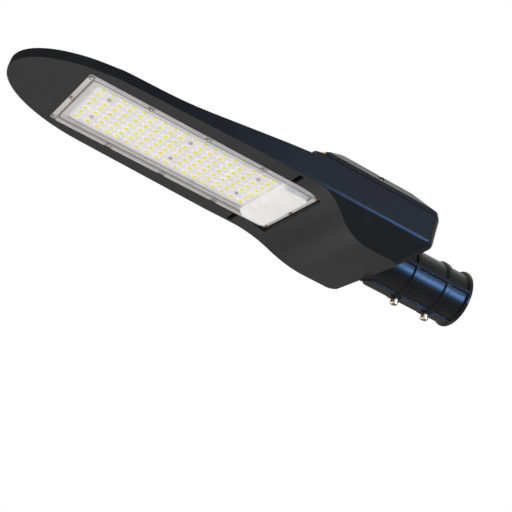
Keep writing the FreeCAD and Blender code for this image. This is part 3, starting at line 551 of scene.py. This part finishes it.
def fill(work, *edge_lists, index=0):
    """Flat faces inside the first closed row and outside the others."""
    edges = [edge for edges in edge_lists for edge in edges]
    made = bmesh.ops.triangle_fill(work, edges=edges, use_beauty=True, use_dissolve=False)
    for item in made["geom"]:
        if isinstance(item, bmesh.types.BMFace):
            item.material_index = index


def rounded_rectangle(x0, x1, y0, y1, radius, z):
    corners = ((x1 - radius, y1 - radius, 0), (x0 + radius, y1 - radius, 90),
               (x0 + radius, y0 + radius, 180), (x1 - radius, y0 + radius, 270))
    points = []
    for cx, cy, start in corners:
        for i in range(CORNER_STEPS + 1):
            turn = math.radians(start + 90 * i / CORNER_STEPS)
            points.append(Vector((cx + radius * math.cos(turn), cy + radius * math.sin(turn), z)))
    return points


def inset_box(low, high, inset):
    """Sides of a box seen from above, moved inwards."""
    return low.x + inset, high.x - inset, low.y + inset, high.y - inset


def circle(place, radius, z, segments=SCREW_SEGMENTS):
    turns = [2 * math.pi * i / segments for i in range(segments)]
    return [Vector((place.x + radius * math.cos(t), place.y + radius * math.sin(t), z)) for t in turns]


def add_cell(work, place, x0, x1, half_y, level, height):
    """One LED's field of the plateau; with a height, an oval lens stands down from it."""
    y0, y1 = place.y - half_y, place.y + half_y
    corners = [(x0, y0), (x1, y0), (x1, y1), (x0, y1)]
    per_side = DOME_SEGMENTS // 4
    border = []
    for (ax, ay), (bx, by) in zip(corners, corners[1:] + corners[:1]):
        for i in range(per_side):
            share = i / per_side
            border.append(work.verts.new((ax + (bx - ax) * share, ay + (by - ay) * share, level)))
    if not height:
        work.faces.new(border)
        return
    outer = border
    for ring in range(DOME_RINGS):
        turn = math.pi / 2 * ring / DOME_RINGS
        reach = math.cos(turn)
        z = level - height * math.sin(turn)
        inner = []
        for i in range(DOME_SEGMENTS):
            around = FIRST_CORNER + 2 * math.pi * i / DOME_SEGMENTS
            x = place.x + DOME_HALF_X * reach * math.cos(around)
            y = place.y + DOME_HALF_Y * reach * math.sin(around)
            inner.append(work.verts.new((x, y, z)))
        bridge(work, outer, inner)
        outer = inner
    crown = work.verts.new((place.x, place.y, level - height))
    for a, b in zip(outer, outer[1:] + outer[:1]):
        work.faces.new((a, b, crown))


def add_lens_border(work, low, high, face):
    """Frosted double bars along the sides and wide pads at both ends, each from one screw to the next."""
    screws = [centre(points) for points in islands("lens_screws")]
    top = face - BORDER_RISE
    across = sorted(p.y for p in screws if p.x < low.x + END_PAD_DEPTH)
    for y0, y1 in zip(across, across[1:]):
        for x in (low.x + BORDER_EDGE, high.x - BORDER_EDGE - END_PAD_DEPTH):
            corner = Vector((x, y0 + SCREW_CLEARING, top))
            end = Vector((x + END_PAD_DEPTH, y1 - SCREW_CLEARING, face))
            add_block(work, corner, end, BORDER_ROUND, FROSTED)
    for side in (-1, 1):
        row = sorted(p.x for p in screws if p.y * side > SCREW_CLEARING)
        for x0, x1 in zip(row, row[1:]):
            for inset in (BORDER_EDGE, BORDER_EDGE + BAR_PITCH):
                y0, y1 = sorted((side * (high.y - inset), side * (high.y - inset - BAR_WIDTH)))
                corner = Vector((x0 + SCREW_CLEARING, y0, top))
                add_block(work, corner, Vector((x1 - SCREW_CLEARING, y1, face)), BORDER_ROUND, FROSTED)


def add_plateau(work, face, tip):
    """The low plateau of the sheet, with a lens on each LED's field; gives the edges of its foot."""
    level = face - PLATEAU_RISE
    lit = [centre(points) for points in islands("leds")]
    unlit = [centre(points) for points in islands("board_screws")]
    columns = sorted({round(p.x, GRID_DIGITS) for p in lit})
    rows = sorted({round(p.y, GRID_DIGITS) for p in lit})
    half_x = (columns[1] - columns[0]) / 2
    half_y = (rows[1] - rows[0]) / 2
    for place, height in [(p, level - tip) for p in lit] + [(p, 0) for p in unlit]:
        rear = CELL_REAR if place.x > columns[-1] - half_x else half_x
        add_cell(work, place, place.x - half_x, place.x + rear, half_y, level, height)
    bmesh.ops.remove_doubles(work, verts=work.verts, dist=WELD_DISTANCE)
    field = [edge for edge in work.edges if edge.is_boundary]
    x0 = columns[0] - PLATEAU_FRONT
    x1 = columns[-1] + PLATEAU_REAR
    y1 = rows[-1] + PLATEAU_SIDE
    slope = PLATEAU_SLOPE
    root, root_edges = add_loop(work, rounded_rectangle(x0, x1, -y1, y1, LENS_CORNER, face))
    rim_box = (x0 + slope, x1 - PLATEAU_REAR_SLOPE, slope - y1, y1 - slope)
    rim, rim_edges = add_loop(work, rounded_rectangle(*rim_box, slope, level))
    bridge(work, root, rim)
    fill(work, rim_edges, field)
    return root_edges


def lens_holes(face, back):
    """Outlines of the plate's holes on its face and its back: the wiring's opening, then one per screw."""
    cover_low, cover_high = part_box("wiring_cover")
    hole = (cover_low.x + OPENING_LIP, cover_high.x - OPENING_LIP, -OPENING_HALF, OPENING_HALF, LENS_CORNER)
    holes = [[rounded_rectangle(*hole, z) for z in (face, back)]]
    for points in islands("lens_screws"):
        sizes = screw_sizes(points, -1)
        holes.append([circle(sizes["middle"], sizes["shank"], z) for z in (face, back)])
    return holes


def make_lens():
    """Clear sheet in one closed skin, with a lens per LED on a low plateau, and its frosted border."""
    low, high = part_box("lens_plate")
    face = high.z - LENS_THICKNESS
    work = bmesh.new()
    root_edges = add_plateau(work, face, low.z)
    inner = inset_box(low, high, LENS_EDGE)
    outline = inset_box(low, high, 0.0)
    lower, lower_edges = add_loop(work, rounded_rectangle(*inner, LENS_CORNER - LENS_EDGE, face))
    side = add_loop(work, rounded_rectangle(*outline, LENS_CORNER, face + LENS_EDGE))[0]
    upper, upper_edges = add_loop(work, rounded_rectangle(*outline, LENS_CORNER, high.z))
    bridge(work, lower, side)
    bridge(work, side, upper)
    seal_low, seal_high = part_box("lens_gasket")
    outer_edges, inner_edges = (
        add_loop(work, rounded_rectangle(*inset_box(seal_low, seal_high, inset), LENS_CORNER, face))[1]
        for inset in (0.0, SEAL_WIDTH))
    below, above = [], []
    for lower_points, upper_points in lens_holes(face, high.z):
        lower_verts, edges = add_loop(work, lower_points)
        below.append(edges)
        upper_verts, edges = add_loop(work, upper_points)
        above.append(edges)
        bridge(work, lower_verts, upper_verts)
    fill(work, lower_edges, outer_edges, *below[1:], index=BORDER)
    fill(work, outer_edges, inner_edges, index=STRIP)
    fill(work, inner_edges, root_edges, below[0], index=RING)
    fill(work, upper_edges, *above, index=CLEAR)
    bmesh.ops.recalc_face_normals(work, faces=work.faces)
    add_lens_border(work, low, high, face)
    plastics = {CLEAR: lens_clear, FROSTED: lens_frosted, BORDER: lens_border, RING: lens_ring,
                STRIP: lens_strip}
    made = piece("lens_optics", work, plastics.values(), "lens_plastic", "lens_plate")
    # Light passes through the clear plate to the board
    made.visible_shadow = False


def add_halo(work, place, root):
    """The white oval that a lens shows around its LED, painted on the board as a low crowned patch."""
    loops = []
    for ring in range(HALO_RINGS):
        turn = math.pi / 2 * ring / HALO_RINGS
        reach = math.cos(turn)
        points = []
        for around in (2 * math.pi * i / DOME_SEGMENTS for i in range(DOME_SEGMENTS)):
            x = place.x + HALO_HALF_X * reach * math.cos(around)
            y = place.y + HALO_HALF_Y * reach * math.sin(around)
            points.append(Vector((x, y, root - HALO_HEIGHT * math.sin(turn))))
        loops.append(add_loop(work, points)[0])
    for first, second in zip(loops, loops[1:]):
        bridge(work, first, second)
    work.faces.new(loops[0])
    work.faces.new(loops[-1])


def make_seal():
    """A lip of the seal that stands in the back of the plate and shows through it as a dark line."""
    low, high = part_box("lens_gasket")
    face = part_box("lens_plate")[1].z - LENS_THICKNESS
    inset, width = SEAL_LINE_INSET, SEAL_LINE_WIDTH
    work = bmesh.new()
    loops = []
    foot = face + SEAL_LINE_COVER
    for edge, z in ((inset, high.z), (inset, foot), (inset + width, foot), (inset + width, high.z)):
        outline = rounded_rectangle(*inset_box(low, high, edge), LENS_CORNER - edge, z)
        loops.append(add_loop(work, outline)[0])
    for first, second in zip(loops, loops[1:] + loops[:1]):
        bridge(work, first, second)
    bmesh.ops.recalc_face_normals(work, faces=work.faces)
    piece("lens_seal_lip", work, [rubber], "seal_rubber")


def make_leds():
    """White packages, each with a raised phosphor window on its underside and a solder pad at both ends."""
    work = bmesh.new()
    for points in islands("leds"):
        low, high = extents(points)
        add_halo(work, (low + high) / 2, high.z)
        low, high = low - LED_SPREAD, high + LED_SPREAD
        rim = Vector((LED_RIM, LED_RIM, 0))
        body_low = low + Vector((0, 0, LED_WINDOW_RISE))
        add_block(work, body_low, high, index=PACKAGE)
        add_block(work, low + rim, Vector((high.x, high.y, body_low.z)) - rim, index=PHOSPHOR)
        for x0, x1 in ((low.x - SOLDER_LENGTH, low.x), (high.x, high.x + SOLDER_LENGTH)):
            corner = Vector((x0, low.y + LED_RIM, high.z - SOLDER_THICKNESS))
            add_block(work, corner, Vector((x1, high.y - LED_RIM, high.z)), index=SOLDER)
    bmesh.ops.recalc_face_normals(work, faces=work.faces)
    materials = {PACKAGE: led_white, PHOSPHOR: phosphor, SOLDER: solder}
    piece("led_packages", work, materials.values(), "led_phosphor", "leds")


def screw_sizes(points, head_side):
    """Radii and levels of a CAD screw whose head is at its low (-1) or high (+1) end."""
    low, high = extents(points)
    middle = (low + high) / 2
    reach = {i: math.hypot(p.x - middle.x, p.y - middle.y) for i, p in enumerate(points)}
    head = max(reach.values())
    tip = low.z if head_side > 0 else high.z
    top = high.z if head_side > 0 else low.z
    shank = max(reach[i] for i, p in enumerate(points) if abs(p.z - tip) < LEVEL_TOLERANCE)
    rim_levels = [p.z for i, p in enumerate(points) if reach[i] > HEAD_RIM_SHARE * head]
    seat = min(rim_levels, key=lambda z: abs(z - tip))
    return {"middle": middle, "head": head, "shank": shank, "tip": tip, "seat": seat, "top": top}


def cross_outline(place, reach, half_width, z):
    """Outline of a cross recess."""
    corner = ((reach, -half_width), (reach, half_width), (half_width, half_width))
    points = []
    for quarter in range(4):
        turn = math.pi / 2 * quarter
        for x, y in corner:
            px = place.x + x * math.cos(turn) - y * math.sin(turn)
            py = place.y + x * math.sin(turn) + y * math.cos(turn)
            points.append(Vector((px, py, z)))
    return points


def add_screw(work, sizes, recess_outline, depth, rounding):
    """A turned screw with a rounded head edge and a recess for the driver."""
    place, head, shank = sizes["middle"], sizes["head"], sizes["shank"]
    seat, top, tip = sizes["seat"], sizes["top"], sizes["tip"]
    height = top - seat
    away = 1 if height > 0 else -1
    rows = [(shank * TIP_SHARE, tip), (shank, tip + (seat - tip) * TIP_LEAD), (shank, seat), (head, seat)]
    for step in range(HEAD_STEPS + 1):
        turn = math.pi / 2 * step / HEAD_STEPS
        rows.append((head - rounding * (1 - math.cos(turn)), top - away * rounding * (1 - math.sin(turn))))
    loops = [add_loop(work, circle(place, radius, z)) for radius, z in rows]
    for (first, _), (second, _) in zip(loops, loops[1:]):
        bridge(work, first, second)
    work.faces.new(loops[0][0])
    mouth, mouth_edges = add_loop(work, recess_outline(top))
    floor, floor_edges = add_loop(work, recess_outline(top - height * depth))
    bridge(work, mouth, floor)
    fill(work, loops[-1][1], mouth_edges)
    work.faces.new(floor)


def make_screws(name, node, head_side, material, slot_name):
    """Cross-recessed screws in place of a CAD group."""
    work = bmesh.new()
    for points in islands(node):
        sizes = screw_sizes(points, head_side)
        reach, half_width = sizes["head"] * RECESS_REACH, sizes["head"] * RECESS_WIDTH

        def outline(z):
            return cross_outline(sizes["middle"], reach, half_width, z)

        add_screw(work, sizes, outline, RECESS_DEPTH, abs(sizes["top"] - sizes["seat"]) * HEAD_ROUNDING)
    bmesh.ops.recalc_face_normals(work, faces=work.faces)
    piece(name, work, [material], slot_name, node)


def make_set_screws():
    """Socket-head screws in place of the CAD group."""
    work = bmesh.new()
    for points in islands("set_screws"):
        sizes = screw_sizes(points, -1)

        def outline(z):
            return circle(sizes["middle"], sizes["head"] * HEXAGON_REACH, z, HEXAGON_SIDES)

        add_screw(work, sizes, outline, HEXAGON_DEPTH, SET_SCREW_EDGE)
    bmesh.ops.recalc_face_normals(work, faces=work.faces)
    piece("socket_screws", work, [warm_steel], "screw_steel", "set_screws")


make_lens()
make_seal()
make_leds()
make_screws("lens_plate_screws", "lens_screws", -1, bronze, "screw_steel")
make_screws("board_fixing_screws", "board_screws", -1, dull_zinc, "screw_steel")
make_screws("lid_screws", "cover_screws", 1, gold, "screw_brass")
make_screws("driver_fixing_screws", "driver_screws", 1, steel, "screw_steel")
make_screws("terminal_block_screws", "terminal_fixing_screws", 1, steel, "screw_steel")
make_screws("earth_point_screw", "earth_screw", 1, gold, "screw_brass")
make_set_screws()


def add_camera():
    data = bpy.data.cameras.new("camera")
    data.lens = CAMERA_LENS_MM
    data.sensor_width = CAMERA_SENSOR_MM
    camera = bpy.data.objects.new("camera", data)
    bpy.context.scene.collection.objects.link(camera)
    back = CAMERA_RIGHT.cross(CAMERA_UP)
    turn = Matrix((CAMERA_RIGHT, CAMERA_UP, back)).transposed().to_4x4()
    camera.matrix_world = Matrix.Translation(CAMERA_PLACE) @ turn
    bpy.context.scene.camera = camera


def seen_directly(tree):
    """A factor that is 1 for the camera, mirrors and clear pieces, and 0 for the light that is given."""
    path = add_node(tree, "ShaderNodeLightPath").outputs
    mirrored = maths(tree, "MAXIMUM", path["Is Camera Ray"], path["Is Glossy Ray"])
    return maths(tree, "MAXIMUM", mirrored, path["Is Transmission Ray"])


def pale_floor():
    """A matt floor that looks pale and keeps the part's shadow, with no more light on the part."""
    made = moulded("pale_floor", FLOOR_GREY, roughness=0.8)
    tree = made.node_tree
    white = add_node(tree, "ShaderNodeEmission", {"Color": WHITE, "Strength": 1.0})
    blend = add_node(tree, "ShaderNodeMixShader")
    tree.links.new(maths(tree, "MULTIPLY", seen_directly(tree), FLOOR_LIFT), blend.inputs[0])
    tree.links.new(tree.nodes["Principled BSDF"].outputs[0], blend.inputs[1])
    tree.links.new(white.outputs[0], blend.inputs[2])
    tree.links.new(blend.outputs[0], tree.nodes["Material Output"].inputs["Surface"])
    return made


def add_floor():
    mesh = bpy.data.meshes.new("floor")
    half = FLOOR_SIZE / 2
    corners = [(x * half, y * half, FLOOR_LEVEL) for x, y in ((-1, -1), (1, -1), (1, 1), (-1, 1))]
    mesh.from_pydata(corners, [], [(0, 1, 2, 3)])
    floor = bpy.data.objects.new("floor", mesh)
    bpy.context.scene.collection.objects.link(floor)
    mesh.materials.append(pale_floor())


def add_light(name, target, offset, size, power, colour, matt=True, gloss=True):
    """A soft rectangular lamp that points at the target, for matt light, gloss, or both."""
    data = bpy.data.lights.new(name, "AREA")
    data.shape = "RECTANGLE"
    data.size, data.size_y = size
    data.energy = power
    data.color = colour
    lamp = bpy.data.objects.new(name, data)
    bpy.context.scene.collection.objects.link(lamp)
    lamp.location = target + Vector(offset)
    lamp.rotation_euler = (-Vector(offset)).to_track_quat("-Z", "Y").to_euler()
    lamp.visible_camera = False
    lamp.visible_diffuse = matt
    lamp.visible_glossy = gloss


def add_world():
    """White where it is seen directly; a dimmer even grey for the light that it gives."""
    world = bpy.data.worlds.new("studio")
    bpy.context.scene.world = world
    world.use_nodes = True
    tree = world.node_tree
    tree.nodes.clear()
    fill_light = add_node(tree, "ShaderNodeBackground", {"Color": WHITE, "Strength": WORLD_FILL})
    white = add_node(tree, "ShaderNodeBackground", {"Color": WHITE, "Strength": 1.0})
    blend = add_node(tree, "ShaderNodeMixShader")
    output = add_node(tree, "ShaderNodeOutputWorld")
    tree.links.new(seen_directly(tree), blend.inputs[0])
    tree.links.new(fill_light.outputs[0], blend.inputs[1])
    tree.links.new(white.outputs[0], blend.inputs[2])
    tree.links.new(blend.outputs[0], output.inputs["Surface"])


add_camera()
add_floor()
add_world()
middle = (cad_box[0] + cad_box[1]) / 2
for lamp_name, settings in LAMPS.items():
    add_light(lamp_name, **{"target": middle, **settings})

bpy.context.scene.view_settings.view_transform = "Standard"
